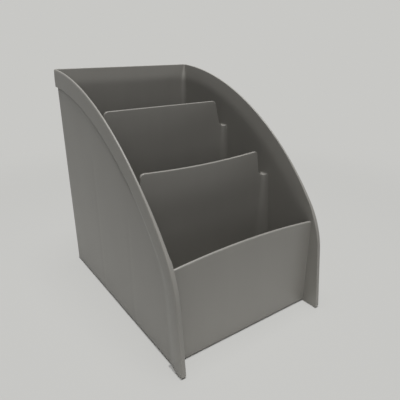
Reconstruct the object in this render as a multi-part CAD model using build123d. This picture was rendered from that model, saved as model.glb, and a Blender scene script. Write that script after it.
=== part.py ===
from build123d import *
import os
from math import atan2, cos, degrees, radians, sin, sqrt, tan

# Three-step desk organizer for cosmetics, one injection moulding in satin plastic.
# +Z is up, +Y points to the back, X runs across. The origin is on the floor,
# in the middle of the overall box. All sizes are millimetres and degrees.

# Overall sizes, over the rim bands and from the foot tips to the back of the rim
overall_width = 119.0
overall_depth = 173.5
overall_height = 160.4

# Walls
wall = 1.9
floor_thickness = 2.0
divider_thickness = 1.6
outer_corner = 3.0
bottom_bevel = 0.8

# Curved side edge: a straight foot, a tight bend and one long arc that still rises a little at the back
foot_lean = 5.8
foot_straight = 45.2
bend_radius = 64.7
back_rise = 2.4
foot_tip_round = 2.2

# Rim band that stands proud along the curved edge and across the back
rim_step = 1.5
rim_width = 14.4
rim_outer_round = 1.1

# Hollow behind the rim band, which fades out above the front wall
relief_width = 13.0
relief_depth = 1.8
relief_fade = 42.0
relief_corner = 2.5

# Front wall, set back between the two feet
foot_reach = 13.0
front_height = 64.4
front_crown = 3.0

# Dividers, placed by the distance from the front wall's outer face to their middle
# A notch is the gap between a side wall and the top corner of the tab
front_divider_place = 48.5
front_divider_height = 105.2
front_divider_dip = 1.9
front_ledge_height = 86.3
front_notch_width = 8.5
front_tab_flare = 7.2
rear_divider_place = 98.7
rear_divider_height = 135.6
rear_divider_dip = 0.0
rear_ledge_height = 115.3
rear_notch_width = 9.4
rear_tab_flare = 12.8
tab_corner = 3.2
notch_round = 4.5
edge_round = 0.5

# Inside corners of the pockets, which open out in cones towards the floor
pocket_floor_corner = 12.0
pocket_ledge_corner = 4.0
back_floor_corner = 8.5
back_top_corner = 1.5
pocket_floor_bevel = 1.5
feather = 0.02

# How far cutting shapes run past what they cut, and the play allowed in comparisons
past = 20.0
cone_past = 5.0
play = 0.001

# Planes and faces that follow from the sizes above
foot_rise = 90 - foot_lean
tip_cut = foot_tip_round * (1 / tan(radians(foot_rise / 2)) - 1)
front_y = -overall_depth / 2 - tip_cut
back_y = overall_depth / 2
wall_outer_x = overall_width / 2 - rim_step
wall_inner_x = wall_outer_x - wall
relief_x = wall_inner_x + relief_depth
back_outer_y = back_y - rim_step
back_inner_y = back_outer_y - wall
front_face_y = front_y + foot_reach
front_inner_y = front_face_y + wall
front_divider_y = front_face_y + front_divider_place
rear_divider_y = front_face_y + rear_divider_place
tray_top = floor_thickness + pocket_floor_bevel
above = overall_height + past
between_walls = (-wall_inner_x, wall_inner_x)


def block(x_span, y_span, z_span):
    """A plain block between two planes each way."""
    spans = (x_span, y_span, z_span)
    middle = [(low + high) / 2 for low, high in spans]
    size = [high - low for low, high in spans]
    return Pos(*middle) * Box(*size)


def upright(half_width, front, back, corner):
    """A tall block that stands on the floor, with rounded rear corners."""
    outline = Pos(0, (front + back) / 2) * Rectangle(2 * half_width, back - front)
    rear = outline.vertices().sort_by(Axis.Y)[-2:]
    return extrude(fillet(rear, corner), amount=above)


def curved_edge(inset):
    """Side edge in the YZ plane, moved inwards by inset: foot, bend, long arc and run-out.

    The long arc's radius and both turns follow from the depth, the height and the
    directions at the foot and at the back.
    """
    steep = radians(foot_rise)
    gentle = radians(back_rise)
    foot_length = foot_straight / sin(steep)
    knee_y = front_y + foot_length * cos(steep)
    across = back_y - knee_y - bend_radius * (sin(steep) - sin(gentle))
    up = overall_height - foot_straight - bend_radius * (cos(gentle) - cos(steep))
    meet = 2 * atan2(up, across) - gentle
    long_radius = bend_radius + across / (sin(meet) - sin(gentle))
    run = Vector(cos(steep), sin(steep))
    inward = Vector(sin(steep), -cos(steep))
    start = Vector(front_y, 0) + inward * inset
    foot = Line(start - run * past, start + run * foot_length)
    bend = JernArc(foot @ 1, foot % 1, bend_radius - inset, -degrees(steep - meet))
    arc = JernArc(bend @ 1, bend % 1, long_radius - inset, -degrees(meet - gentle))
    run_out = Line(arc @ 1, arc @ 1 + (arc % 1) * past)
    return [foot, bend, arc, run_out]


def under_edge(inset):
    """Everything behind and below the side edge at that inset, right across the part."""
    edges = curved_edge(inset)
    first = edges[0] @ 0
    last = edges[-1] @ 1
    closing = Polyline((last.X, last.Y), (last.X, first.Y), (first.X, first.Y))
    face = make_face(edges + closing.edges())
    if inset == 0:
        above_floor = Pos(0, above) * Rectangle(2 * overall_depth, 2 * above)
        face = face & above_floor
        tip = face.vertices().sort_by(Axis.X)[0]
        face = fillet(tip, foot_tip_round)
    return extrude(Plane.YZ * face, amount=overall_width, both=True)


def rim_edges(solid):
    """Outer edges of the faces that the side edge sweeps out, without the lines across them."""
    uses = {}
    for face in solid.faces():
        normal = face.normal_at()
        if abs(normal.X) < play and normal.Z > play:
            for edge in face.edges():
                middle = edge @ 0.5
                place = (round(middle.X, 3), round(middle.Y, 3), round(middle.Z, 3))
                uses.setdefault(place, []).append(edge)
    outer = [edges[0] for edges in uses.values() if len(edges) == 1]
    return [edge for edge in outer if (edge @ 0.5).Z > 2 * foot_tip_round]


def solid_form():
    """The outside of the moulding, still solid: walls cut to the side edge, and the rim band."""
    below = under_edge(0)
    body = upright(wall_outer_x, front_y - past, back_outer_y, outer_corner)
    body = chamfer(body.edges().group_by(Axis.Z)[0], bottom_bevel) & below
    shell = upright(overall_width / 2, front_y - past, back_y, outer_corner + rim_step) & below
    band = fillet(rim_edges(shell), rim_outer_round) - under_edge(rim_width)
    return body + band


def rim_relief():
    """The hollow behind the rim band, which fades out at the front wall."""
    fade_top = front_height + relief_fade
    outline = Polyline(
        (-wall_inner_x, front_height),
        (-relief_x, fade_top),
        (-relief_x, above),
        (relief_x, above),
        (relief_x, fade_top),
        (wall_inner_x, front_height),
        close=True,
    )
    across = extrude(Plane.XZ * make_face(outline), amount=overall_depth, both=True)
    hollow = upright(relief_x, front_face_y, back_inner_y + relief_depth, relief_corner) & across
    inside = block(between_walls, (front_y, back_inner_y), (0, above + past))
    return hollow - inside - under_edge(relief_width)


def pocket_floor(front, back, corner):
    """The lowest part of one pocket: rounded corners, and a bevel between floor and walls."""
    place = Pos(0, (front + back) / 2, floor_thickness)
    outline = place * RectangleRounded(2 * wall_inner_x, back - front, corner)
    hollow = extrude(outline, amount=past)
    return chamfer(hollow.edges().group_by(Axis.Z)[0], pocket_floor_bevel)


def corner_pads(face_y, toward, top, foot_radius, head_radius, head):
    """Fillets in the two corners between the side walls and the face of a member.

    Each is what a ball leaves that rolls up the corner while its radius changes steadily
    from foot_radius at the tray to head_radius at the height head, so its face is a cone.
    The cone stands proud by feather, so that the long edges don't thin out to nothing.
    toward is 1 where the pocket is behind the face and -1 where it is in front of it.
    """
    slope = (head_radius - foot_radius) / (head - tray_top)
    ends = []
    for z in (tray_top - cone_past, head + cone_past):
        radius = foot_radius + slope * (z - tray_top)
        ends.append((radius, Vector(wall_inner_x - radius, face_y + toward * radius, z)))
    (foot, start), (tip, end) = ends
    axis = end - start
    squeeze = sqrt(1 - ((foot - tip) / axis.length) ** 2)
    upward = (Align.CENTER, Align.CENTER, Align.MIN)
    cone = Cone(foot / squeeze + feather, tip / squeeze + feather, axis.length, align=upward)
    cone = Plane(origin=start, z_dir=axis) * cone
    chord = Plane(origin=(wall_inner_x - foot, face_y, tray_top - cone_past), z_dir=(1, -toward, slope))
    y_span = sorted((face_y, face_y + toward * foot))
    corner = block((wall_inner_x - foot, wall_inner_x), y_span, (tray_top, top))
    right = split(corner, bisect_by=chord, keep=Keep.TOP) - cone
    return right + mirror(right, Plane.YZ)


def standing_plate(outline, front, back):
    """A flat member cut from its front view, with the edges of its free top rounded."""
    plate = Pos(0, back) * extrude(Plane.XZ * outline, amount=back - front)
    edges = []
    for edge in plate.edges():
        middle = edge @ 0.5
        on_face = min(abs(middle.Y - front), abs(middle.Y - back)) < play
        if on_face and abs(middle.X) < wall_inner_x - play and middle.Z > tray_top + play:
            edges.append(edge)
    return fillet(edges, edge_round)


def front_outline():
    """Front view of the front wall: a plain panel with a gently crowned top edge."""
    left, right = between_walls
    crown = ThreePointArc((left, front_height), (0, front_height + front_crown), (right, front_height))
    rest = Polyline((right, front_height), (right, tray_top), (left, tray_top), (left, front_height))
    return make_face([crown] + rest.edges())


def divider_outline(height, dip, ledge, notch_width, flare):
    """Front view of a divider: a tab with flared sides, and a ledge on each side that reaches the wall."""
    half = wall_inner_x - notch_width
    foot_half = half + (height - ledge) * tan(radians(flare))
    room = wall_inner_x - foot_half - edge_round
    notch = min(notch_round, room / tan(radians(90 - flare) / 2))
    if dip:
        top = ThreePointArc((-half, height), (0, height - dip), (half, height))
    else:
        top = Line((-half, height), (half, height))
    right = Polyline((half, height), (foot_half, ledge), (wall_inner_x, ledge), (wall_inner_x, tray_top))
    left = mirror(right, Plane.YZ)
    bottom = Line((-wall_inner_x, tray_top), (wall_inner_x, tray_top))
    face = make_face([top, bottom] + right.edges() + left.edges())
    face = fillet([v for v in face.vertices() if abs(v.Y - height) < play], tab_corner)
    return fillet([v for v in face.vertices() if abs(abs(v.X) - foot_half) < play], notch)


def side_wall(form, relief):
    """The right-hand side wall, with its foot and its length of the rim band."""
    beside = (wall_inner_x, wall_inner_x + past)
    return (form & block(beside, (front_y - past, back_y + past), (0, above))) - relief


def base_tray(form, divider_half):
    """The floor of all three pockets, up to the top of the bevels round them."""
    tray = form & block(between_walls, (front_face_y, back_y), (0, tray_top))
    tray = tray - pocket_floor(front_inner_y, front_divider_y - divider_half, pocket_floor_corner)
    middle_front = front_divider_y + divider_half
    tray = tray - pocket_floor(middle_front, rear_divider_y - divider_half, pocket_floor_corner)
    return tray - pocket_floor(rear_divider_y + divider_half, back_inner_y, back_floor_corner)


def back_wall(form, relief):
    """The back wall between the side walls, with its rim and the rear pocket's two back corners."""
    wall_alone = (form & block(between_walls, (back_inner_y, back_y), (tray_top, above))) - relief
    corners = corner_pads(back_inner_y, -1, above, back_floor_corner, back_top_corner, above)
    return wall_alone + (corners & under_edge(relief_width))


def front_wall():
    """The low crowned wall between the feet, with the front pocket's two front corners."""
    top = front_height - 2 * edge_round
    corners = corner_pads(front_inner_y, 1, top, pocket_floor_corner, pocket_ledge_corner, front_ledge_height)
    return standing_plate(front_outline(), front_face_y, front_inner_y) + corners


def divider(place, half, outline, ledge, front_corner, back_corner):
    """One notched divider and its corners, whose foot radii are front_corner and back_corner."""
    top = ledge - edge_round
    plate = standing_plate(outline, place - half, place + half)
    plate = plate + corner_pads(place - half, -1, top, front_corner, pocket_ledge_corner, ledge)
    return plate + corner_pads(place + half, 1, top, back_corner, pocket_ledge_corner, ledge)


def front_divider(half):
    """The lower divider, whose top edge dips in the middle."""
    outline = divider_outline(
        front_divider_height, front_divider_dip, front_ledge_height, front_notch_width, front_tab_flare
    )
    corner = pocket_floor_corner
    return divider(front_divider_y, half, outline, front_ledge_height, corner, corner)


def rear_divider(half):
    """The taller divider, with a straight top edge."""
    outline = divider_outline(
        rear_divider_height, rear_divider_dip, rear_ledge_height, rear_notch_width, rear_tab_flare
    )
    return divider(
        rear_divider_y, half, outline, rear_ledge_height, pocket_floor_corner, back_floor_corner
    )


def main():
    half = divider_thickness / 2
    form = solid_form()
    relief = rim_relief()
    right_side_wall = side_wall(form, relief)
    members = {
        "base_tray": base_tray(form, half),
        "right_side_wall": right_side_wall,
        "left_side_wall": mirror(right_side_wall, Plane.YZ),
        "back_wall": back_wall(form, relief),
        "front_wall": front_wall(),
        "front_divider": front_divider(half),
        "rear_divider": rear_divider(half),
    }
    os.makedirs("parts", exist_ok=True)
    for name, member in members.items():
        export_step(member, f"parts/{name}.step")


main()
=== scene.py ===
import math

import bmesh
import bpy
import numpy as np
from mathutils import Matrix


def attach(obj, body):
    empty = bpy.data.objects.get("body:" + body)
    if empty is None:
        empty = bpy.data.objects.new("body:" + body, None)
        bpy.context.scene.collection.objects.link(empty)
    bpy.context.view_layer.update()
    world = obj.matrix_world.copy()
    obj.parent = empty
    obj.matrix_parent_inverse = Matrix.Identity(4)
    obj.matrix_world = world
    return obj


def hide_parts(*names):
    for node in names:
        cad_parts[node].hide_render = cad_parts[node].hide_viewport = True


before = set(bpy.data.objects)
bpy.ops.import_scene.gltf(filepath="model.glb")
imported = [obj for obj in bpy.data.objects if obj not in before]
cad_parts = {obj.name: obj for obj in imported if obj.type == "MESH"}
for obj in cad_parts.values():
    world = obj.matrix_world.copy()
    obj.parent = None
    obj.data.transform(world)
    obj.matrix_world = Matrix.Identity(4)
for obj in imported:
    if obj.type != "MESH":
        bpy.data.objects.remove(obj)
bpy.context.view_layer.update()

millimetre = 0.001


# Camera, stage and light

cameraValues = {
    "place": (-151.71, -235.355, 180.02),
    "tilt": 68.38,
    "turn": -35.28,
    "lens": 36.14,
    "sensor": 36.0,
    "clip": (0.01, 50.0),
}

stageValues = {
    "floorColor": (0.92, 0.918, 0.90, 1.0),
    "farColor": (0.12, 0.12, 0.12, 1.0),
    "cardReach": (0.15, 0.55),  # metres from the middle over which the white floor gives way to the dim room
    "floorRoughness": 0.85,
    "floorSide": 6.0,
    "seenColor": (0.578, 0.577, 0.560, 1.0),  # floor and backdrop, as the eye and glossy surfaces see them
    "seenShare": 0.88,  # the rest is the lit floor, which keeps the shadow
    "nearGlow": 0.985,  # strength of the glow near the object; it is 1 far away
    "seenTone": 0.61,  # brings the lit floor, as seen, down to the glow's level
    "shadowReach": (0.15, 0.5),  # metres from the middle over which the lit floor gives way
    "contactReach": 0.0008,  # metres outside the footprints over which the glow sets in
    "footprints": (  # middle and half size, in metres, of the walls' ring and of a foot, in |x| and y
        ((0.0, 0.0056), (0.0578, 0.0796)),
        ((0.0577, -0.0795), (0.0016, 0.0066)),
    ),
    "roomLight": 0.03,
}

lampValues = {
    "ceiling": {"place": (0.0, -0.06, 1.65), "aim": (0, 0, 0.06), "side": 0.8, "energy": 28.5},
    "front": {"place": (-0.45, -1.3, 0.6), "aim": (0, 0, 0.06), "side": 1.0, "energy": 3.1},
}


# New object in the scene, with the data given
def addObject(name, data):
    thing = bpy.data.objects.new(name, data)
    bpy.context.scene.collection.objects.link(thing)
    return thing


# Camera at a place in millimetres, tilted and turned in degrees
def makeCamera(values):
    data = bpy.data.cameras.new("photoCamera")
    data.lens = values["lens"]
    data.sensor_width = values["sensor"]
    data.clip_start, data.clip_end = values["clip"]
    camera = addObject("photoCamera", data)
    camera.location = [v * millimetre for v in values["place"]]
    camera.rotation_euler = (math.radians(values["tilt"]), 0.0, math.radians(values["turn"]))
    bpy.context.scene.camera = camera


# Inputs of a node, by name or number: each is a socket to link or a plain value
def fillInputs(tree, node, inputs):
    for label, value in inputs.items():
        if isinstance(value, bpy.types.NodeSocket):
            tree.links.new(value, node.inputs[label])
        else:
            node.inputs[label].default_value = value


# Node of a kind in a tree, with its inputs filled and its settings set first; gives its outputs
def addNode(tree, kind, inputs, **settings):
    node = tree.nodes.new("ShaderNode" + kind)
    for name, value in settings.items():
        setattr(node, name, value)
    fillInputs(tree, node, inputs)
    return node.outputs


# Math node: its inputs are sockets or plain numbers, in order
def mathNode(tree, operation, *inputs):
    return addNode(tree, "Math", dict(enumerate(inputs)), operation=operation)[0]


# Smooth step node: a value between two ends gives one between two results
def fadeNode(tree, value, ends, results=(0.0, 1.0)):
    labels = ("Value", "From Min", "From Max", "To Min", "To Max")
    inputs = dict(zip(labels, (value, *ends, *results)))
    return addNode(tree, "MapRange", inputs, interpolation_type="SMOOTHSTEP")["Result"]


# 1 for rays from the camera, from gloss and through glass, 0 for the rays that light a surface
def seenRays(tree):
    path = addNode(tree, "LightPath", {})
    direct = mathNode(tree, "MAXIMUM", path["Is Camera Ray"], path["Is Glossy Ray"])
    return mathNode(tree, "MAXIMUM", direct, path["Is Transmission Ray"])


# 0 at the object's footprints and 1 past the contact reach, so the thin line of shadow under the walls isn't
# lost in the glow. The distance past a footprint is the larger of those in |x| and y; the nearest counts.
def clearOfWalls(tree, place, values):
    apart = addNode(tree, "SeparateXYZ", {0: place})
    across = mathNode(tree, "ABSOLUTE", apart["X"])
    nearest = None
    for middles, halves in values["footprints"]:
        past = []
        for size, middle, half in zip((across, apart["Y"]), middles, halves):
            away = mathNode(tree, "ABSOLUTE", mathNode(tree, "SUBTRACT", size, middle))
            past.append(mathNode(tree, "SUBTRACT", away, half))
        outside = mathNode(tree, "MAXIMUM", *past)
        nearest = outside if nearest is None else mathNode(tree, "MINIMUM", nearest, outside)
    return fadeNode(tree, nearest, (0.0, values["contactReach"]))


# The floor is a lit pale surface mixed with a plain glow that only seen rays meet. The glow's share
# is the seen share near the object and grows to 1 with distance, and its strength grows in step.
# The lit colour is scaled down for seen rays, so both show at one level and the light on the object stays.
def floorMaterial(values):
    material = bpy.data.materials.new("paleFloor")
    material.use_nodes = True
    tree = material.node_tree
    shader = tree.nodes["Principled BSDF"]
    seen = seenRays(tree)
    place = addNode(tree, "TexCoord", {})["Object"]
    distance = addNode(tree, "VectorMath", {0: place}, operation="LENGTH")["Value"]
    card = fadeNode(tree, distance, values["cardReach"])
    tones = {"Factor": card, "A": values["floorColor"], "B": values["farColor"]}
    tone = addNode(tree, "Mix", tones, data_type="RGBA")["Result"]
    scale = mathNode(tree, "MULTIPLY_ADD", seen, values["seenTone"] - 1.0, 1.0)
    shown = addNode(tree, "VectorMath", {0: tone, "Scale": scale}, operation="SCALE")["Vector"]
    lit = {"Base Color": shown, "Roughness": values["floorRoughness"], "Specular IOR Level": 0.0}
    fillInputs(tree, shader, lit)
    strength = fadeNode(tree, distance, values["shadowReach"], (values["nearGlow"], 1.0))
    glow = addNode(tree, "Emission", {"Color": values["seenColor"], "Strength": strength})["Emission"]
    share = fadeNode(tree, distance, values["shadowReach"], (values["seenShare"], 1.0))
    seenShare = mathNode(tree, "MULTIPLY", share, seen)
    glowShare = mathNode(tree, "MULTIPLY", seenShare, clearOfWalls(tree, place, values))
    mixed = addNode(tree, "MixShader", {"Fac": glowShare, 1: shader.outputs["BSDF"], 2: glow})["Shader"]
    fillInputs(tree, tree.nodes["Material Output"], {"Surface": mixed})
    return material


def makeFloor(values):
    side = values["floorSide"]
    mesh = bpy.data.meshes.new("floor")
    corners = [(-side, -side, 0), (side, -side, 0), (side, side, 0), (-side, side, 0)]
    mesh.from_pydata(corners, [], [(0, 1, 2, 3)])
    mesh.materials.append(floorMaterial(values))
    floor = addObject("floor", mesh)


# The room is the floor's pale colour to seen rays, and an even soft light to the rest
def makeWorld(values):
    world = bpy.data.worlds.new("paleRoom")
    world.use_nodes = True
    tree = world.node_tree
    light = tree.nodes["Background"]
    fillInputs(tree, light, {"Color": (1.0, 1.0, 1.0, 1.0), "Strength": values["roomLight"]})
    room = addNode(tree, "Background", {"Color": values["seenColor"]})["Background"]
    shaders = {"Fac": seenRays(tree), 1: light.outputs["Background"], 2: room}
    fillInputs(tree, tree.nodes["World Output"], {"Surface": addNode(tree, "MixShader", shaders)["Shader"]})
    bpy.context.scene.world = world


# Turn a lamp to face a target: the tilt from straight down, then the turn about z
def aimAt(thing, target):
    direction = np.array(target) - np.array(thing.location)
    flat = math.hypot(direction[0], direction[1])
    tilt = math.atan2(flat, -direction[2])
    turn = math.atan2(direction[1], direction[0]) - math.pi / 2
    thing.rotation_euler = (tilt, 0.0, turn)


# Square lamps that light the object and aren't seen themselves
def makeLamps(values):
    for name, lamp in values.items():
        data = bpy.data.lights.new(name, "AREA")
        data.size = lamp["side"]
        data.energy = lamp["energy"]
        thing = addObject(name, data)
        thing.location = lamp["place"]
        aimAt(thing, lamp["aim"])
        thing.visible_camera = False


makeCamera(cameraValues)
makeFloor(stageValues)
makeWorld(stageValues)
makeLamps(lampValues)
bpy.context.scene.view_settings.view_transform = "Standard"
print("camera, stage and lamps are in place")


# Satin plastic

plasticValues = {
    "color": (0.268, 0.259, 0.238),
    "ior": 1.5,
    "roughness": 0.40,
    "roughnessSpread": 0.07,
    "grain": {"Grain Size": 0.38, "Grain Height": 0.0035, "Ripple Size": 16.0, "Ripple Height": 0.018},
    "flow": {"Width": 9.0, "Length": 46.0, "Tint Share": 0.035},
}


# Node group with a vector, the named numbers and their defaults as inputs, and named numbers as outputs
def newGroup(name, numbers, results):
    group = bpy.data.node_groups.new(name, "ShaderNodeTree")
    group.interface.new_socket("Vector", in_out="INPUT", socket_type="NodeSocketVector")
    for label, value in numbers.items():
        socket = group.interface.new_socket(label, in_out="INPUT", socket_type="NodeSocketFloat")
        socket.default_value = value
    for label in results:
        group.interface.new_socket(label, in_out="OUTPUT", socket_type="NodeSocketFloat")
    return group, group.nodes.new("NodeGroupInput").outputs, group.nodes.new("NodeGroupOutput")


# Noise whose spots are about as large as a size in millimetres: scale is 1000 over the size
def noiseNode(tree, vector, size, detail, roughness):
    scale = mathNode(tree, "DIVIDE", 1.0 / millimetre, size)
    inputs = {"Vector": vector, "Scale": scale, "Detail": detail, "Roughness": roughness}
    return addNode(tree, "TexNoise", inputs)["Fac"]


# Mould grain: spark-worn pits, as fine noise, over the slow ripple of a thin moulded wall.
# Height is grain height times fine noise plus ripple height times slow noise, in millimetres.
def mouldGrain():
    numbers = {"Grain Size": 0.4, "Grain Height": 0.004, "Ripple Size": 15.0, "Ripple Height": 0.02}
    group, given, end = newGroup("mouldGrain", numbers, ["Height"])
    fine = noiseNode(group, given["Vector"], given["Grain Size"], detail=3.0, roughness=0.6)
    slow = noiseNode(group, given["Vector"], given["Ripple Size"], detail=1.0, roughness=0.4)
    grain = mathNode(group, "MULTIPLY", fine, given["Grain Height"])
    height = mathNode(group, "MULTIPLY_ADD", slow, given["Ripple Height"], grain)
    fillInputs(group, end, {"Height": height})
    return group


# Flow marks: noise stretched upwards, because the melt rises from the floor to the rim.
# Tint is 1 plus the tint share times the noise's distance from its middle, times 2.
def flowMarks():
    numbers = {"Width": 9.0, "Length": 45.0, "Tint Share": 0.03}
    group, given, end = newGroup("flowMarks", numbers, ["Tint", "Marks"])
    ratio = mathNode(group, "DIVIDE", given["Width"], given["Length"])
    shape = addNode(group, "CombineXYZ", {"X": 1.0, "Y": 1.0, "Z": ratio})["Vector"]
    squashed = addNode(group, "VectorMath", {0: given["Vector"], 1: shape}, operation="MULTIPLY")["Vector"]
    marks = noiseNode(group, squashed, given["Width"], detail=2.0, roughness=0.5)
    doubled = mathNode(group, "MULTIPLY", mathNode(group, "SUBTRACT", marks, 0.5), 2.0)
    tint = mathNode(group, "MULTIPLY_ADD", doubled, given["Tint Share"], 1.0)
    fillInputs(group, end, {"Tint": tint, "Marks": marks})
    return group


# Colour is the plastic's own, times the flow marks' tint.
# Roughness is the base value plus a spread times the marks' distance from their middle.
def satinPlastic(values):
    material = bpy.data.materials.new("satinPlastic")
    material.use_nodes = True
    tree = material.node_tree
    place = addNode(tree, "TexCoord", {})["Object"]
    grain = addNode(tree, "Group", {"Vector": place, **values["grain"]}, node_tree=mouldGrain())
    flow = addNode(tree, "Group", {"Vector": place, **values["flow"]}, node_tree=flowMarks())
    tinted = addNode(tree, "VectorMath", {0: values["color"], "Scale": flow["Tint"]}, operation="SCALE")
    uneven = mathNode(tree, "SUBTRACT", flow["Marks"], 0.5)
    rough = mathNode(tree, "MULTIPLY_ADD", uneven, values["roughnessSpread"], values["roughness"])
    bump = addNode(tree, "Bump", {"Distance": millimetre, "Height": grain["Height"]})
    fillInputs(tree, tree.nodes["Principled BSDF"], {
        "Base Color": tinted["Vector"],
        "IOR": values["ior"],
        "Roughness": rough,
        "Normal": bump["Normal"],
    })
    return material


plastic = satinPlastic(plasticValues)
print("satin plastic is mixed")


# Surface helpers, all lengths in millimetres

meshValues = {
    "weld": 0.002,
    "sliverShare": 0.25,  # of the weld's length: shorter edges are dissolved
    "sharpAngle": 38.0,
    "roundSteps": 7,
    "samePoint": 1e-4,
    "tiny": 1e-6,
}


# Smooth step: 3 t squared less 2 t cubed, so a round starts and ends level with its neighbours
def smoothStep(t):
    t = np.clip(t, 0.0, 1.0)
    return t * t * (3.0 - 2.0 * t)


# Angles from zero to a quarter turn, closer together at both ends
def quarterAngles(steps):
    return smoothStep(np.linspace(0.0, 1.0, steps)) * math.pi / 2


# Quads of a grid of rows by columns whose last column joins its first
def gridQuads(rows, columns, start=0):
    row, near = np.meshgrid(np.arange(rows - 1) * columns, np.arange(columns), indexing="ij")
    far = (near + 1) % columns
    quads = np.stack([row + near, row + columns + near, row + columns + far, row + far], axis=-1)
    return (start + quads).reshape(-1, 4).tolist()


# A closed loop of points carried along stations, with a flat cap at each end.
# The cap joins point j of the loop to point j counted from the loop's other end, and an odd
# point in the middle closes it with a triangle.
def loopFaces(rows, columns):
    faces = gridQuads(rows, columns)
    half = columns // 2
    for row in (0, rows - 1):
        near = row * columns + np.arange(half)
        far = row * columns + columns - 1 - np.arange(half)
        strip = np.stack([near[:-1], near[1:], far[1:], far[:-1]], axis=-1)
        faces += strip.tolist()
        if columns % 2:
            faces.append([int(near[-1]), row * columns + half, int(far[-1])])
    return faces


# Closed mesh from points in millimetres: double points are welded, slivers dissolved and faces turned
# outwards. It rides on the root body and stands in for one node of the CAD.
def makePiece(name, points, faces, node):
    mesh = bpy.data.meshes.new(name)
    mesh.from_pydata((np.asarray(points) * millimetre).tolist(), [], faces)
    work = bmesh.new()
    work.from_mesh(mesh)
    weld = meshValues["weld"] * millimetre
    bmesh.ops.remove_doubles(work, verts=work.verts, dist=weld)
    bmesh.ops.dissolve_degenerate(work, dist=weld * meshValues["sliverShare"], edges=work.edges)
    bmesh.ops.recalc_face_normals(work, faces=work.faces)
    if work.calc_volume(signed=True) < 0:
        bmesh.ops.reverse_faces(work, faces=work.faces)
    work.to_mesh(mesh)
    work.free()
    mesh.shade_smooth()
    mesh.set_sharp_from_angle(angle=math.radians(meshValues["sharpAngle"]))
    mesh.materials.append(plastic)
    piece = addObject(name, mesh)
    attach(piece, "root")
    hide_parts(node)
    print(f"{name}: {len(mesh.vertices)} points, {len(mesh.polygons)} faces")


# Side edge in the YZ plane: a straight foot, a tight bend, and one long arc to the back

edgeValues = {
    "depth": 173.5,
    "height": 160.4,
    "footLean": 5.8,
    "footStraight": 45.2,
    "bendRadius": 64.7,
    "backRise": 2.4,
    "tipRound": 2.2,
}


# Where the runs meet, without a corner: the slope at the meeting of bend and long arc is twice the slope
# of the chord from there to the back, less the rise at the back
def solveEdge(values):
    steep = math.radians(90.0 - values["footLean"])
    gentle = math.radians(values["backRise"])
    radius = values["bendRadius"]
    backY = values["depth"] / 2
    frontY = -backY - values["tipRound"] * (1.0 / math.tan(steep / 2) - 1.0)
    footLength = values["footStraight"] / math.sin(steep)
    kneeY = frontY + footLength * math.cos(steep)
    across = backY - kneeY - radius * (math.sin(steep) - math.sin(gentle))
    up = values["height"] - values["footStraight"] - radius * (math.cos(gentle) - math.cos(steep))
    meet = 2.0 * math.atan2(up, across) - gentle
    longRadius = radius + across / (math.sin(meet) - math.sin(gentle))
    bendCentre = (kneeY + radius * math.sin(steep), values["footStraight"] - radius * math.cos(steep))
    longCentre = (
        bendCentre[0] + (longRadius - radius) * math.sin(meet),
        bendCentre[1] - (longRadius - radius) * math.cos(meet),
    )
    return {
        "steep": steep,
        "meet": meet,
        "frontY": frontY,
        "footLength": footLength,
        "bendRadius": radius,
        "bendLength": radius * (steep - meet),
        "longRadius": longRadius,
        "bendCentre": bendCentre,
        "longCentre": longCentre,
    }


edge = solveEdge(edgeValues)


# Point and heading on the side edge at a length along it from the floor
def edgeAt(along):
    along = np.asarray(along, float)
    past = along - edge["footLength"]
    later = past - edge["bendLength"]
    heading = np.where(past < 0, edge["steep"], edge["steep"] - past / edge["bendRadius"])
    heading = np.where(later > 0, edge["meet"] - later / edge["longRadius"], heading)
    footY = edge["frontY"] + along * math.cos(edge["steep"])
    footZ = along * math.sin(edge["steep"])
    bendY = edge["bendCentre"][0] - edge["bendRadius"] * np.sin(heading)
    bendZ = edge["bendCentre"][1] + edge["bendRadius"] * np.cos(heading)
    longY = edge["longCentre"][0] - edge["longRadius"] * np.sin(heading)
    longZ = edge["longCentre"][1] + edge["longRadius"] * np.cos(heading)
    y = np.where(past < 0, footY, np.where(later > 0, longY, bendY))
    z = np.where(past < 0, footZ, np.where(later > 0, longZ, bendZ))
    return y, z, heading


# Height of the long arc over a place in y, by Pythagoras from the arc's centre
def edgeHeight(y):
    reach = np.asarray(y, float) - edge["longCentre"][0]
    return edge["longCentre"][1] + np.sqrt(edge["longRadius"] ** 2 - reach ** 2)


# Length along the side edge at a place in y on the long arc
def edgeLengthAt(y):
    heading = math.asin((edge["longCentre"][0] - y) / edge["longRadius"])
    return edge["footLength"] + edge["bendLength"] + edge["longRadius"] * (edge["meet"] - heading)


# Side walls

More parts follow.
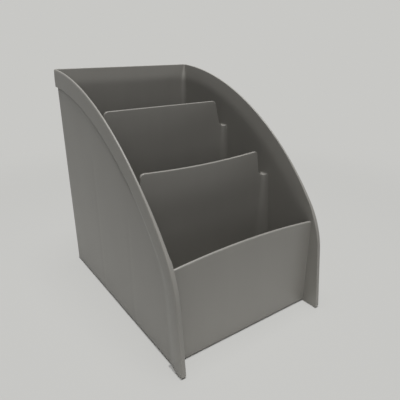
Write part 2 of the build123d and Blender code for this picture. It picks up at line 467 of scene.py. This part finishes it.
wallValues = {
    "outer": 58.0,
    "inner": 56.1,
    "rimStep": 1.5,
    "outerRound": 0.6,
    "innerRound": 0.35,
    "bottomRound": 0.5,
    "crownDepth": 0.42,
    "draft": 0.25,
    "bandDraft": 0.2,
    "draftHeight": 100.0,
    "raised": 0.55,
    "raisedHeight": 3.0,
    "raisedStart": -71.0,
    "raisedStartRamp": 2.5,
    "raisedEnd": 82.95,
    "raisedEndRamp": 3.0,
    # Lengths along the edge, and the insets there of the band's ridge and crease
    "bandAlong": (0.0, 60.0, 92.0, 130.0, 148.0, 172.0, 205.0, 250.0),
    "ridgeInset": (5.0, 5.0, 7.2, 9.4, 10.4, 11.1, 11.8, 12.5),
    "creaseInset": (14.6, 14.6, 13.6, 11.8, 11.0, 11.5, 12.2, 12.9),
    "rampWidths": (1.0, 3.0, 8.0),
    "rampShares": (0.35, 0.5, 0.3),
    # Lengths along the edge, and the reach there of its round and of the band's crown
    "roundAlong": (0.0, 50.0, 75.0, 95.0, 150.0, 250.0),
    "roundReach": (1.0, 1.0, 1.4, 1.6, 1.6, 1.4),
    "crownReach": (4.6, 4.6, 6.0, 7.0, 9.0, 9.0),
    "grooveOffset": 0.6,
    "grooveWidth": 0.9,
    "grooveDepth": 0.5,
    "grooveAlong": (112.0, 150.0),
    "reliefHeights": (64.4, 75.0, 86.0, 101.0, 112.0),
    "reliefDepths": (0.0, 0.6, 0.9, 1.38, 1.55),
    "flareBend": 6.5,
    "flareEnd": 14.5,
    "reliefStart": 0.8,
    "frontFace": -73.985,
    "cutY": 83.95,
    "bandEnd": 16.4,
    "sinkPlaces": (-25.485, 24.715),
    "sinkTops": (84.0, 113.0),
    "sinkFade": 20.0,
    "sinkDepth": 0.11,
    "sinkWidth": 1.7,
    "waveDepth": 0.045,
    "waveLengths": (9.3, 14.7, 5.1, 21.0),
    "waveShifts": (0.6, 0.4),
    "slantShare": 0.7,
    "waveOnBand": 0.25,
    "waveFade": 6.0,
    "levelShare": 0.5,  # of the foot's length: the rows are level below it
    "uprightLength": 40.0,
    "tipFade": 7.0,
    "flangeEnd": 0.5,
    "flangeRamp": 1.0,
    "pastBand": 99.0,  # inset given to the places past the band
}

# Grid of the side walls: how many stations in the tip, foot, bend and long arc, how many places in each
# part of a row, and the gaps between those parts
gridValues = {
    "stations": (11, 18, 56, 96),
    "outerRound": 10,
    "face": 10,
    "ridge": 5,
    "ramp": 9,
    "crease": 4,
    "groove": 9,
    "innerRound": 8,
    "flare": 11,
    "fade": 9,
    "roundGap": 0.15,
    "ridgeGap": 0.1,
    "creaseGap": 0.12,
    "outerGap": 0.3,
    "flareGap": 0.4,
    "innerGap": 0.6,
    "widestRidge": 0.5,
    "ridgeShare": 0.35,
    "panelStep": 3.2,
    "sinkStep": 0.7,
    "sinkReach": 6.3,
    "sinkGap": 0.5,
}


# Ramp from 0 to 1 over 0 to 1, straight in the middle, with a rounded share at each end
def softRamp(t, share):
    t = np.clip(t, 0.0, 1.0)
    low = t * t / (2.0 * share * (1.0 - share))
    high = 1.0 - (1.0 - t) ** 2 / (2.0 * share * (1.0 - share))
    middle = (t - share / 2.0) / (1.0 - share)
    return np.where(t < share, low, np.where(t > 1.0 - share, high, middle))


# Insets of the rim band's lower edge: the ridge, where it starts to fall, and the crease, where it ends
def bandInsets(along):
    values = wallValues
    ridge = np.interp(along, values["bandAlong"], values["ridgeInset"])
    crease = np.interp(along, values["bandAlong"], values["creaseInset"])
    return ridge, crease


# Inset over which the outer edge is rounded: an ellipse, wider than it is deep
def roundReachAt(along):
    return np.interp(along, wallValues["roundAlong"], wallValues["roundReach"])


# The band's face bends inwards to its edge: the crown depth times the square of the way back over its reach
def crownDrop(inset, along):
    reach = np.interp(along, wallValues["roundAlong"], wallValues["crownReach"])
    return wallValues["crownDepth"] * np.clip(1.0 - inset / reach, 0.0, 1.0) ** 2


# The dark line under the band: a groove with the section of a squared cosine, at an offset past the crease
def grooveDrop(past):
    values = wallValues
    share = np.clip((past - values["grooveOffset"]) / values["grooveWidth"], -0.5, 0.5)
    return values["grooveDepth"] * np.cos(math.pi * share) ** 2


# Share of the draft at a height: 1 at the floor, so the walls stand a little further in there, and 0 high up
def draftShare(z):
    return 1.0 - smoothStep(z / wallValues["draftHeight"])


# A slow wave over the outer face: two waves crossed, plus a share of a slanting one
def slowWave(y, z):
    values = wallValues
    lengthY, lengthZ, slantY, slantZ = values["waveLengths"]
    shiftY, shiftZ = values["waveShifts"]
    crossed = np.sin(y / lengthY + shiftY) * np.cos(z / lengthZ + shiftZ)
    return crossed + values["slantShare"] * np.sin(y / slantY - z / slantZ)


# Distance in x of the outer face: the wall, plus the rim band down to its ramp, less the draft, the band's
# crown, the groove, shallow sink marks (bell curves across each divider) and a slow wave
def outerFace(y, z, inset, along):
    values = wallValues
    ridge, crease = bandInsets(along)
    share = np.interp(crease - ridge, values["rampWidths"], values["rampShares"])
    ramp = softRamp((inset - ridge) / (crease - ridge), share)
    wall = values["outer"] - values["draft"] * draftShare(z)
    band = values["outer"] + values["rimStep"] - values["bandDraft"] * draftShare(z)
    x = wall + (band - wall) * (1.0 - ramp) - crownDrop(inset, along)
    low, high = values["grooveAlong"]
    x = x - grooveDrop(inset - crease) * smoothStep((along - low) / (high - low))
    for place, top in zip(values["sinkPlaces"], values["sinkTops"]):
        bell = np.exp(-0.5 * ((y - place) / values["sinkWidth"]) ** 2)
        x = x - values["sinkDepth"] * bell * smoothStep((top - z) / values["sinkFade"])
    inside = smoothStep((inset - crease) / values["waveFade"])
    waveShare = values["waveOnBand"] + (1.0 - values["waveOnBand"]) * inside
    x = x - values["waveDepth"] * slowWave(y, z) * waveShare
    return np.minimum(x, values["outer"] + values["rimStep"])


# Share of the flare at an inset. Its slope is even up to the bend and falls in a smooth step to the end,
# so the share is the slope added up from the end: the straight part, plus 1/2 - t + t cubed - half t to
# the fourth.
def flareShare(inset):
    bend = wallValues["flareBend"]
    fade = wallValues["flareEnd"] - bend
    t = np.clip((inset - bend) / fade, 0.0, 1.0)
    curved = fade * (0.5 - t + t ** 3 - 0.5 * t ** 4)
    return (np.maximum(bend - inset, 0.0) + curved) / (bend + 0.5 * fade)


# Distance in x of the inner face: the wall, flared outwards behind the rim above the front wall
def innerFace(y, z, inset):
    values = wallValues
    depth = np.interp(z, values["reliefHeights"], values["reliefDepths"])
    start = smoothStep((y - values["frontFace"]) / values["reliefStart"])
    return values["inner"] + depth * flareShare(inset) * start


# Quarter round of a depth and a reach at an inset from the edge, 0 past the reach and where the depth is 0
def roundDrop(inset, depth, reach=None):
    reach = depth if reach is None else reach
    left = np.clip(1.0 - inset / reach, 0.0, 1.0) if depth else 0.0 * inset
    return depth * (1.0 - np.sqrt(1.0 - left ** 2))


# Evenly spaced places between two ends, as many at every station
def spread(start, end, count):
    share = np.linspace(0.0, 1.0, count)
    return start[:, None] + (end - start)[:, None] * share


# Insets of the outer face's places at every station, close together over the edge's round, the ridge,
# the crease and the groove
def outerInsets(along):
    values = wallValues
    counts = gridValues
    ridge, crease = bandInsets(along)
    reach = roundReachAt(along)
    window = np.minimum(counts["widestRidge"], counts["ridgeShare"] * (crease - ridge))
    rounded = 1.0 - np.cos(quarterAngles(counts["outerRound"]))
    groove = values["grooveOffset"] + values["grooveWidth"] * np.linspace(-0.5, 0.5, counts["groove"])
    last = np.array([[values["bandEnd"] - counts["outerGap"], values["bandEnd"]]])
    parts = [
        reach[:, None] * rounded[None, :],
        spread(reach + counts["roundGap"], ridge - window - counts["ridgeGap"], counts["face"]),
        spread(ridge - window, ridge + window, counts["ridge"]),
        spread(ridge + window, crease - window, counts["ramp"])[:, 1:-1],
        spread(crease - window, crease + counts["creaseGap"], counts["crease"]),
        crease[:, None] + groove[None, :],
        np.repeat(last, len(along), axis=0),
    ]
    return np.concatenate(parts, axis=1)


# Insets of the inner face's places, the same at every station: the edge's round, the flare and its fade
def innerInsets(along):
    values = wallValues
    counts = gridValues
    radius = values["innerRound"]
    bend = values["flareBend"]
    row = np.concatenate([
        radius * (1.0 - np.cos(quarterAngles(counts["innerRound"]))),
        np.linspace(radius + counts["roundGap"], bend - counts["flareGap"], counts["flare"]),
        np.linspace(bend, values["flareEnd"], counts["fade"]),
        [values["bandEnd"] - counts["innerGap"], values["bandEnd"]],
    ])
    return np.repeat(row[None, :], len(along), axis=0)


# The wall's lower edge stands off the floor between foot and back, and the lift dies out higher up
def liftBottom(y, z):
    values = wallValues
    share = smoothStep((y - values["raisedStart"]) / values["raisedStartRamp"])
    share = share * smoothStep((values["raisedEnd"] - y) / values["raisedEndRamp"])
    return z + values["raised"] * share * np.clip(1.0 - z / values["raisedHeight"], 0.0, 1.0)


# Height at which the foot's rounded tip ends: the radius times 1 plus the cosine of the foot's slope
def tipHeight():
    return edgeValues["tipRound"] * (1.0 + math.cos(edge["steep"]))


# Lengths along the side edge, from the floor to the back: close together in the tip and the bend
def wallStations():
    foot = edge["footLength"]
    bend = foot + edge["bendLength"]
    end = edgeLengthAt(wallValues["cutY"])
    tips, feet, bends, arcs = gridValues["stations"]
    tip = tipHeight() * (1.0 - np.cos(np.linspace(0.0, math.pi / 2, tips)))
    return np.concatenate([
        tip / math.sin(edge["steep"]),
        np.linspace(tipHeight(), foot, feet)[1:-1],
        np.linspace(foot, bend, bends)[:-1],
        np.linspace(bend, end, arcs),
    ])


# Places and insets of the rows that run back from the edge: square to it, but level in the foot, where they
# start on the tip's round, and upright at the back. Past the band each row is level and stops at upright
# lines fixed in y, so sink marks lie along the grid.
def rowPoints(along, insets, lines):
    y, z, heading = edgeAt(along)
    foot = edge["footLength"]
    low = wallValues["levelShare"] * foot
    level = 1.0 - smoothStep((along - low) / (foot - low))
    turning = wallValues["uprightLength"]
    uprightShare = smoothStep((along - along[-1] + turning) / turning)
    lean = level / math.tan(edge["steep"]) - uprightShare * np.tan(heading)
    directionY = np.sin(heading) + lean * np.cos(heading)
    directionZ = -np.cos(heading) + lean * np.sin(heading)
    rowY = y[:, None] + directionY[:, None] * insets
    rowZ = z[:, None] + directionZ[:, None] * insets
    tipRound = edgeValues["tipRound"]
    tipCentre = -edgeValues["depth"] / 2 + tipRound
    below = np.clip(tipRound - z, -tipRound, tipRound)
    tipY = tipCentre - np.sqrt(tipRound ** 2 - below ** 2)
    shift = np.where(z < tipHeight(), tipY - y, 0.0)
    fade = 1.0 - smoothStep((insets - wallValues["outerRound"]) / wallValues["tipFade"])
    rowY = rowY + shift[:, None] * fade
    panelY = np.maximum(rowY[:, -1:], lines[None, :])
    panelZ = np.repeat(rowZ[:, -1:], len(lines), axis=1)
    past = np.full_like(panelY, wallValues["pastBand"])
    pairs = ((rowY, panelY), (rowZ, panelZ), (insets, past))
    return [np.concatenate(pair, axis=1) for pair in pairs]


# Upright lines across the panel: evenly spaced, and closer together over each sink mark
def panelLines():
    values = wallValues
    reach = gridValues["sinkReach"]
    step = gridValues["sinkStep"]
    plain = np.arange(values["frontFace"], values["cutY"], gridValues["panelStep"])
    near = np.arange(-reach, reach + step / 2, step)
    for place in values["sinkPlaces"]:
        plain = plain[np.abs(plain - place) > reach + gridValues["sinkGap"]]
    lines = [plain] + [place + near for place in values["sinkPlaces"]]
    return np.append(np.sort(np.concatenate(lines)), values["cutY"])


# Outer and inner face on one grid each, joined to a loop at every station, with rounds at the rim and
# the floor; the inner face has the floor's round only in front of the front wall
def sideWall(name, node, side):
    values = wallValues
    along = wallStations()
    lines = panelLines()
    outerY, outerZ, outerInset = rowPoints(along, outerInsets(along), lines)
    innerY, innerZ, innerInset = rowPoints(along, innerInsets(along), lines)
    station = np.repeat(along[:, None], outerY.shape[1], axis=1)
    bottom = roundDrop(outerZ, values["bottomRound"])
    rounded = roundDrop(outerInset, values["outerRound"], roundReachAt(station))
    outerX = outerFace(outerY, outerZ, outerInset, station) - rounded - bottom
    flange = smoothStep((values["frontFace"] - values["flangeEnd"] - innerY) / values["flangeRamp"])
    innerX = innerFace(innerY, innerZ, innerInset) + roundDrop(innerInset, values["innerRound"])
    innerX = innerX + flange * roundDrop(innerZ, values["bottomRound"] / 2)
    outer = np.stack([outerX, outerY, liftBottom(outerY, outerZ)], axis=-1)
    inner = np.stack([innerX, innerY, liftBottom(innerY, innerZ)], axis=-1)
    loop = np.concatenate([outer[:, ::-1], inner], axis=1)
    loop[..., 0] *= side
    makePiece(name, loop.reshape(-1, 3), loopFaces(*loop.shape[:2]), node)


sideWall("rightSideWall", "right_side_wall", 1)
sideWall("leftSideWall", "left_side_wall", -1)
print("side walls are in place")


# Cross members: the front wall and the two dividers, all between the side walls

memberValues = {
    "sunk": 0.06,
    "padBottom": 3.5,
    "columnSteps": 18,
    "bottomSteps": 6,
    "pathStep": 1.6,
    "arcSteps": 7,
    "arcDegrees": 8.0,
    "upturnRun": 0.05,
}

frontWallValues = {
    "height": 64.4,
    "crown": 3.0,
    "edgeRound": 0.92,
    "bottom": 0.5,
    "bottomRound": 0.7,
    "head": 86.3,
    "sides": (
        {"face": -73.985, "foot": 0.5, "tip": 0.5, "top": 1e3},
        {"face": -72.085, "foot": 12.0, "tip": 4.0, "top": 63.4, "fade": 12.0},
    ),
}

frontDividerValues = {
    "middle": -25.485,
    "thickness": 2.0,
    "edgeRound": 0.45,
    "height": 105.2,
    "dip": 1.9,
    "ledge": 86.3,
    "notchWidth": 8.5,
    "flare": 7.2,
    "footRadii": (12.0, 12.0),
    "headRadius": 4.0,
    "tabCorner": 3.2,
    "notchRound": 4.5,
    "upturn": 1.2,
}

rearDividerValues = {
    **frontDividerValues,
    "middle": 24.715,
    "height": 135.6,
    "dip": 0.0,
    "ledge": 115.3,
    "notchWidth": 9.4,
    "flare": 12.8,
    "footRadii": (12.0, 8.5),
    "upturn": 1.1,
}


# Line through corners, each rounded with its own radius: the arc starts the radius times the tangent of
# half the turn before the corner, and the points lie about a step apart
def roundedLine(corners, radii, step):
    points = [corners[0]]
    for index in range(1, len(corners) - 1):
        before, corner, after = (np.array(corners[index + k]) for k in (-1, 0, 1))
        into = (corner - before) / np.linalg.norm(corner - before)
        out = (after - corner) / np.linalg.norm(after - corner)
        turn = math.acos(np.clip(into @ out, -1.0, 1.0))
        radius = radii[index - 1]
        back = radius * math.tan(turn / 2)
        start = corner - into * back
        side = np.sign(into[0] * out[1] - into[1] * out[0])
        normal = side * np.array([-into[1], into[0]])
        steps = max(memberValues["arcSteps"], int(math.degrees(turn) / memberValues["arcDegrees"]))
        angle = smoothStep(np.linspace(0.0, 1.0, steps)) * turn
        arc = start + radius * (np.outer(np.sin(angle), into) + np.outer(1.0 - np.cos(angle), normal))
        points += list(arc)
    points = np.array(points + [corners[-1]])
    filled = [points[:1]]
    for first, last in zip(points[:-1], points[1:]):
        count = max(1, int(round(np.linalg.norm(last - first) / step)))
        share = np.linspace(0.0, 1.0, count + 1)[1:, None]
        filled.append(first + share * (last - first))
    line = np.concatenate(filled)
    apart = np.linalg.norm(np.diff(line, axis=0), axis=1) > meshValues["samePoint"]
    return line[np.append(True, apart)]


# Unit normals to the right of a line's heading, from the points on each side of a point
def lineNormals(line):
    heading = np.gradient(line, axis=0)
    heading /= np.linalg.norm(heading, axis=1)[:, None]
    return np.stack([-heading[:, 1], heading[:, 0]], axis=1)


# Corner radius at a height: it shrinks steadily from the floor to the head, so the corner is a cone
def padRadius(z, pad):
    low = memberValues["padBottom"]
    share = (np.minimum(z, pad["top"]) - low) / (pad["head"] - low)
    return pad["foot"] + (pad["tip"] - pad["foot"]) * share


# How far a face swings out beside a side wall: a circle of the corner radius at that height.
# Where the pad has a fade, the swing dies out over that height below its top.
def padReach(x, z, pad):
    radius = padRadius(z, pad)
    share = np.clip((wallValues["inner"] - np.abs(x)) / radius, 0.0, 1.0)
    reach = radius * (1.0 - np.sqrt(1.0 - (1.0 - share) ** 2))
    return reach * smoothStep((pad["top"] - z) / pad["fade"]) if "fade" in pad else reach


# Place across of a column that starts at x: it keeps its share of the corner while the corner grows
def columnX(x, z, pad):
    wallX = wallValues["inner"]
    topRadius = padRadius(pad["top"], pad)
    radius = padRadius(z, pad)
    size = np.abs(x)
    share = (wallX - size) / topRadius
    inCorner = wallX - share * radius
    inFlat = size * (wallX - radius) / (wallX - topRadius)
    beyond = wallX + memberValues["sunk"] + 0 * z
    wide = np.where(share > 1.0, inFlat, np.where(share > 0.0, inCorner, beyond))
    return np.sign(x) * wide


# One side of a member: columns from the bottom up to the edge round, then the round up to the outline
def memberSide(line, normals, sign, pad, bottom, bottomRound=0.0):
    radius = pad["edgeRound"]
    faceY = pad["face"]
    start = line + normals * radius
    beyond = np.abs(start[:, 0]) > wallValues["inner"]
    start[beyond, 1] = start[~beyond, 1][0]
    even = np.linspace(0.0, 1.0, memberValues["columnSteps"])
    share = (smoothStep(even) + even) / 2
    foot = bottom + bottomRound
    z = foot + (start[:, 1:2] - foot) * share
    if bottomRound:
        low = bottomRound * (1.0 - np.cos(quarterAngles(memberValues["bottomSteps"])))
        z = np.concatenate([bottom + np.tile(low[:-1], (len(line), 1)), z], axis=1)
    x = columnX(np.repeat(start[:, :1], z.shape[1], axis=1), z, pad)
    y = faceY + sign * padReach(x, z, pad) - sign * roundDrop(z - bottom, bottomRound)
    column = np.stack([x, y, z], axis=-1)
    angle = quarterAngles(meshValues["roundSteps"])[1:]
    out = line[:, None, :] + normals[:, None, :] * (radius * (1.0 - np.sin(angle)))[None, :, None]
    roundY = faceY + sign * (padReach(out[..., 0], out[..., 1], pad) - radius * (1.0 - np.cos(angle)))
    rounded = np.stack([out[..., 0], roundY, out[..., 1]], axis=-1)
    return np.concatenate([column, rounded], axis=1)


# Front and back side on one grid each, joined to a loop at every point of the outline. The ends are sunk
# into the side walls, and only the front side has a round at the bottom.
def crossMember(name, node, line, sides, bottom, bottomRound=0.0):
    normals = lineNormals(line)
    line = line.copy()
    line[[0, -1], 0] += np.array([1.0, -1.0]) * memberValues["sunk"]
    front = memberSide(line, normals, -1, sides[0], bottom, bottomRound)
    back = memberSide(line, normals, 1, sides[1], bottom)
    if bottomRound:
        extra = front.shape[1] - back.shape[1]
        back = np.concatenate([np.repeat(back[:, :1], extra, axis=1), back], axis=1)
    loop = np.concatenate([front, back[:, ::-1]], axis=1)
    makePiece(name, loop.reshape(-1, 3), loopFaces(*loop.shape[:2]), node)


# Front wall: its top edge is an arc over the whole width, with the radius of the half width squared plus
# the crown squared, over twice the crown
def frontWall():
    values = frontWallValues
    wallX = wallValues["inner"]
    crown = values["crown"]
    radius = (wallX ** 2 + crown ** 2) / (2 * crown)
    line = roundedLine([(wallX, values["height"]), (-wallX, values["height"])], [], memberValues["pathStep"])
    line[:, 1] += np.sqrt(np.maximum(radius ** 2 - line[:, 0] ** 2, 0.0)) - (radius - crown)
    shared = {"head": values["head"], "edgeRound": values["edgeRound"]}
    sides = [{**shared, **side} for side in values["sides"]]
    crossMember("frontWall", "front_wall", line, sides, values["bottom"], values["bottomRound"])


# Divider: a ledge turned up at each side wall, a notch, and a tab whose sides flare outwards by an angle.
# The dip lowers the top by a parabola.
def divider(name, node, values):
    wallX = wallValues["inner"]
    ledge = values["ledge"]
    half = wallX - values["notchWidth"]
    footHalf = half + (values["height"] - ledge) * math.tan(math.radians(values["flare"]))
    upturnTop = ledge + values["upturn"] + memberValues["upturnRun"]
    right = [(wallX, upturnTop), (wallX, ledge), (footHalf, ledge), (half, values["height"])]
    corners = right + [(-x, z) for x, z in reversed(right)]
    radii = [values["upturn"], values["notchRound"], values["tabCorner"]]
    line = roundedLine(corners, radii + radii[::-1], memberValues["pathStep"])
    bow = np.clip(1.0 - (line[:, 0] / half) ** 2, 0.0, 1.0)
    line[:, 1] -= values["dip"] * bow
    thick = values["thickness"] / 2
    shared = {"tip": values["headRadius"], "head": ledge, "top": ledge, "edgeRound": values["edgeRound"]}
    faces = (values["middle"] - thick, values["middle"] + thick)
    sides = [{**shared, "face": face, "foot": foot} for face, foot in zip(faces, values["footRadii"])]
    crossMember(name, node, line, sides, memberValues["padBottom"])


frontWall()
divider("frontDivider", "front_divider", frontDividerValues)
divider("rearDivider", "rear_divider", rearDividerValues)
print("front wall and dividers are in place")


# Back wall, with both outer corners of the rim and the rear pocket's two back corners. Offsets are from a
# core line that joins the two side walls' cut ends.

backValues = {
    "cornerX": 56.7,
    "outer": 1.3,
    "rim": 2.8,
    "relief": 0.95,
    "innerFace": 83.35,
    "footRadius": 8.5,
    "topRadius": 3.0,
    "floorLevel": 3.5,
    "rimWidth": 12.7,
    "stepHeight": 0.4,
    "outerRound": 0.6,
    "outerReach": 1.4,
    "innerRound": 0.35,
    "bottomRound": 0.5,
    "cornerSteps": 15,
    "straightSteps": 36,
    "faceSteps": 26,
    "stepSteps": 7,
    "rimSteps": 9,
    "grooveGap": 0.1,
    "ridgeGap": 0.35,
    "roundGap": 0.2,
    "topGap": 0.01,
    "flareGap": 0.4,
    "under": 0.1,
}


# Stations round the back: a quarter turn at each corner and a straight run between them.
# Each has a place on the core line and the direction from there to the outside.
def backStations():
    values = backValues
    angle = quarterAngles(values["cornerSteps"])
    run = np.linspace(values["cornerX"], -values["cornerX"], values["straightSteps"])[1:-1]
    corner = np.full_like(angle, values["cornerX"])
    coreX = np.concatenate([corner, run, -corner])
    outX = np.concatenate([np.cos(angle), np.zeros_like(run), -np.sin(angle)])
    outY = np.concatenate([np.sin(angle), np.ones_like(run), np.cos(angle)])
    return coreX, outX, outY


# Point at an offset from the core line, a depth under the side edge's height at that place
def aroundBack(offset, drop):
    coreX, outX, outY = backStations()
    x = coreX[:, None] + outX[:, None] * offset
    y = wallValues["cutY"] + outY[:, None] * offset
    return np.stack([x, y, edgeHeight(y) - drop], axis=-1)


# The same points moved outwards by a lift, each in its own station's direction
def movedOut(points, lift):
    outX, outY = backStations()[1:]
    moved = points.copy()
    moved[..., 0] += outX[:, None] * lift
    moved[..., 1] += outY[:, None] * lift
    return moved


# Inner face under the flare: its corners are cones, wide at the floor and tight at the top
def insideBack(z):
    values = backValues
    coreX, outX, outY = backStations()
    share = (z - values["floorLevel"]) / (edgeValues["height"] - values["floorLevel"])
    radius = values["footRadius"] + (values["topRadius"] - values["footRadius"]) * share
    middleX = coreX[:, None] * (wallValues["inner"] - radius) / values["cornerX"]
    x = middleX + outX[:, None] * radius
    y = values["innerFace"] - radius + outY[:, None] * radius
    return np.stack([x, y, np.broadcast_to(z, x.shape)], axis=-1)


# Inner face behind the rim: the flare's share of the way from the plain inner face to the rim's thin edge,
# then moved outwards by the lift
def insideRim(drop, lift):
    rim = aroundBack(np.full_like(drop, backValues["relief"]), drop)
    inner = insideBack(rim[..., 2])
    point = movedOut(inner + (rim - inner) * flareShare(drop)[None, :, None], lift)
    point[..., 2] = edgeHeight(point[..., 1]) - drop
    return point


# Points at offsets from the core line and at heights over the floor
def ringAt(offsets, heights):
    ring = aroundBack(np.asarray(offsets, float), 0.0)
    ring[..., 2] = heights
    return ring


# Loop of sections at every station: up the outside, over the rim, down the inside and back under the wall
def backWall():
    values = backValues
    outer = values["outer"]
    rim = values["rim"]
    big = values["outerRound"]
    small = values["innerRound"]
    reach = values["outerReach"]
    station = wallValues["roundAlong"][-1]
    angle = quarterAngles(meshValues["roundSteps"])
    even = np.linspace(0.0, 1.0, values["faceSteps"])[1:]
    low = values["bottomRound"] * (1.0 - np.cos(angle))
    inward = wallValues["draft"] * draftShare(low)
    outerLow = ringAt(outer - inward - roundDrop(low, values["bottomRound"]), low)
    crease = values["rimWidth"] + values["stepHeight"] / 2
    across = np.linspace(0.5, -0.5, gridValues["groove"])
    past = wallValues["grooveOffset"] + wallValues["grooveWidth"] * across
    groove = aroundBack(outer - grooveDrop(past), crease + past)
    panelTop = aroundBack(np.array([outer]), crease + past[0] + values["grooveGap"])
    panelFoot = ringAt([outer], low[-1])
    panel = panelFoot + (panelTop - panelFoot) * even[None, :, None]
    panel = movedOut(panel, -wallValues["draft"] * draftShare(panel[..., 2]))
    step = np.linspace(0.0, 1.0, values["stepSteps"])
    stepOffset = outer + (rim - outer) * softRamp(step, wallValues["rampShares"][0])
    rimStep = aroundBack(stepOffset, values["rimWidth"] + values["stepHeight"] * (0.5 - step))
    ridge = values["rimWidth"] - values["stepHeight"] / 2
    down = np.linspace(ridge - values["ridgeGap"], reach + values["roundGap"], values["rimSteps"])
    rimFace = aroundBack(rim - crownDrop(down, station), down)
    down = reach * (1.0 - np.sin(angle))
    outerRound = aroundBack(rim - crownDrop(down, station) - big * (1.0 - np.cos(angle)), down)
    outside = rim - crownDrop(0.0, station) - big - values["topGap"]
    inside = values["relief"] + small + values["topGap"]
    top = aroundBack(np.array([outside, inside]), 0.0)
    turn = angle[::-1]
    innerRound = insideRim(small * (1.0 - np.sin(turn)), small * (1.0 - np.cos(turn)))
    bend = wallValues["flareBend"]
    drop = np.concatenate([
        np.linspace(small + values["roundGap"], bend - values["flareGap"], values["rimSteps"]),
        np.linspace(bend, wallValues["flareEnd"], values["rimSteps"]),
    ])
    flare = insideRim(drop, 0.0)
    last = flare[:, -1:, 2]
    face = insideBack(last + (values["floorLevel"] - last) * even)
    bottom = ringAt([values["under"], values["under"]], (values["floorLevel"], 0.0))
    parts = [outerLow, panel, groove, rimStep, rimFace, outerRound, top, innerRound, flare, face, bottom]
    loop = np.concatenate(parts, axis=1)
    rows, columns = loop.shape[:2]
    faces = gridQuads(rows, columns)
    faces += [[row * columns + j for j in range(columns)] for row in (0, rows - 1)]
    makePiece("backWall", loop.reshape(-1, 3), faces, "back_wall")


backWall()
print("back wall is in place")


# Base tray: three pans side by side, with soft corners and a round between floor and walls

trayValues = {
    "sunk": 0.3,
    "top": 2.0,
    "floorRound": 3.0,
    "underside": 0.45,
    "cells": (  # front and back of the pan and of the box round it, and the pan's corner radius
        (-72.085, -26.285, -73.1, -25.485, 12.0),
        (-24.685, 23.915, -25.485, 24.715, 12.0),
        (25.515, 83.35, 24.715, 84.3, 8.5),
    ),
    "shared": (-25.485, 24.715),
    "gridRadius": 12.0,
    "roundSteps": 9,
    "cornerSteps": 13,
    "sideSteps": 14,
    "ringShares": (0.93, 0.8, 0.6, 0.35, 0.12),
}


# Rounded rectangle as one line of points: four corner arcs, with straight runs between them
def panOutline(halfX, front, back, radius):
    angle = quarterAngles(trayValues["cornerSteps"])
    share = np.linspace(0.0, 1.0, trayValues["sideSteps"])[1:-1]
    middleY = (front + back) / 2
    insideX = halfX - radius
    insideY = (back - front) / 2 - radius
    signs = ((1, -1), (1, 1), (-1, 1), (-1, -1))
    centres = [np.array([signX * insideX, middleY + signY * insideY]) for signX, signY in signs]
    parts = []
    for quarter, centre in enumerate(centres):
        turn = angle + (quarter - 1) * math.pi / 2
        arc = centre + radius * np.stack([np.cos(turn), np.sin(turn)], axis=-1)
        end = np.array([math.cos(turn[-1]), math.sin(turn[-1])])
        nextStart = centres[(quarter + 1) % len(centres)] + radius * end
        parts += [arc, arc[-1] + share[:, None] * (nextStart - arc[-1])]
    return np.concatenate(parts)


# The same points moved out to a plain rectangle: each corner's arc is pushed out from its own centre
def boxOutline(halfX, front, back):
    radius = trayValues["gridRadius"]
    middle = np.array([0.0, (front + back) / 2])
    straight = np.array([halfX, (back - front) / 2]) - radius
    offset = panOutline(halfX, front, back, radius) - middle
    past = np.maximum(np.abs(offset) - straight, 0.0)
    grow = radius / np.maximum(past.max(axis=1, keepdims=True), meshValues["tiny"])
    pushed = np.sign(offset) * (straight + past * grow)
    return middle + np.where(past > 0, pushed, offset)


# Each pan is a stack of rings from its underside out to the walls, up past the round, and down the round
# to the middle of its floor. The walls between neighbouring pans are left out, so the pans are one shell.
def baseTray():
    values = trayValues
    wallX = wallValues["inner"]
    radius = values["floorRound"]
    underside = values["underside"]
    shares = values["ringShares"]
    angle = quarterAngles(values["roundSteps"])
    points = []
    faces = []
    start = 0
    for front, back, boxFront, boxBack, corner in values["cells"]:
        middle = np.array([0.0, (front + back) / 2])
        outline = boxOutline(wallX + values["sunk"], boxFront, boxBack)
        rings = [(middle + (outline - middle) * share, underside) for share in shares[::-1]]
        rings += [(outline, underside), (outline, values["top"] + radius)]
        for turn in angle:
            inset = radius * (1.0 - math.cos(turn))
            height = values["top"] + radius * (1.0 - math.sin(turn))
            pan = panOutline(wallX - inset, front + inset, back - inset, corner - inset)
            rings.append((pan, height))
        rings += [(middle + (pan - middle) * share, values["top"]) for share in shares]
        grid = np.array([np.column_stack([ring, np.full(len(ring), height)]) for ring, height in rings])
        rows, columns = grid.shape[:2]
        points.append(grid.reshape(-1, 3))
        onShared = np.isclose(outline[:, 1:], values["shared"]).any(axis=1)
        joined = np.zeros((rows - 1, columns), bool)
        joined[len(shares)] = onShared & np.roll(onShared, -1)
        quads = gridQuads(rows, columns, start)
        faces += [quad for quad, hidden in zip(quads, joined.ravel()) if not hidden]
        faces += [[start + row * columns + j for j in range(columns)] for row in (0, rows - 1)]
        start += rows * columns
    makePiece("baseTray", np.concatenate(points), faces, "base_tray")


baseTray()
print("base tray is in place")
